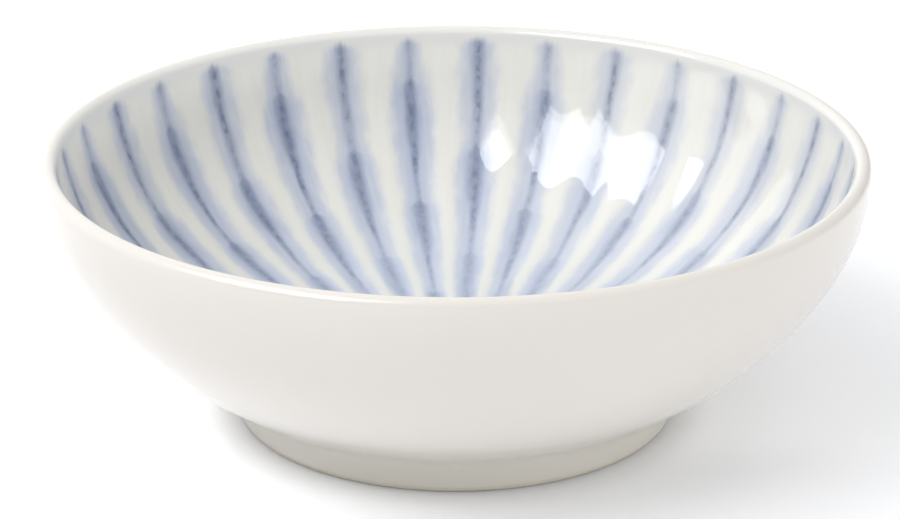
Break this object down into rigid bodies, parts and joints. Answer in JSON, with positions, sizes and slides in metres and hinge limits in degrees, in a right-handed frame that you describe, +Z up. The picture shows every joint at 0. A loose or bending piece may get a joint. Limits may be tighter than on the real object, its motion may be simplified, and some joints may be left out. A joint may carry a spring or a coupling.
{
  "type": "shallow bowl",
  "caption": "Shallow round porcelain bowl on a foot ring, glazed, lined with radiating blue brush strokes, for serving food at the table.",
  "frame": {"origin": "centre of the foot ring's resting edge", "axes": "+Z up along the turning axis; +Y through the middle of the first brush stroke"},
  "size_m": [0.1648, 0.1648, 0.0552],
  "materials": {
    "porcelain": "fired, unglazed, off-white",
    "clear_glaze": "smooth, glossy, slightly grey-green white",
    "cobalt_strokes": "soft slate-blue brushwork under a glossy glaze"
  },
  "bodies": {
    "root": {"bowl_wall": "porcelain", "foot_ring": "porcelain", "glaze_coat": "clear_glaze", "well_glaze": "clear_glaze", "stroke_01": "cobalt_strokes", "stroke_02": "cobalt_strokes", "stroke_03": "cobalt_strokes", "stroke_04": "cobalt_strokes", "stroke_05": "cobalt_strokes", "stroke_06": "cobalt_strokes", "stroke_07": "cobalt_strokes", "stroke_08": "cobalt_strokes", "stroke_09": "cobalt_strokes", "stroke_10": "cobalt_strokes", "stroke_11": "cobalt_strokes", "stroke_12": "cobalt_strokes", "stroke_13": "cobalt_strokes", "stroke_14": "cobalt_strokes", "stroke_15": "cobalt_strokes", "stroke_16": "cobalt_strokes", "stroke_17": "cobalt_strokes", "stroke_18": "cobalt_strokes", "stroke_19": "cobalt_strokes", "stroke_20": "cobalt_strokes", "stroke_21": "cobalt_strokes", "stroke_22": "cobalt_strokes", "stroke_23": "cobalt_strokes", "stroke_24": "cobalt_strokes", "stroke_25": "cobalt_strokes", "stroke_26": "cobalt_strokes", "stroke_27": "cobalt_strokes", "stroke_28": "cobalt_strokes", "stroke_29": "cobalt_strokes", "stroke_30": "cobalt_strokes", "stroke_31": "cobalt_strokes", "stroke_32": "cobalt_strokes"}
  },
  "joints": []
}
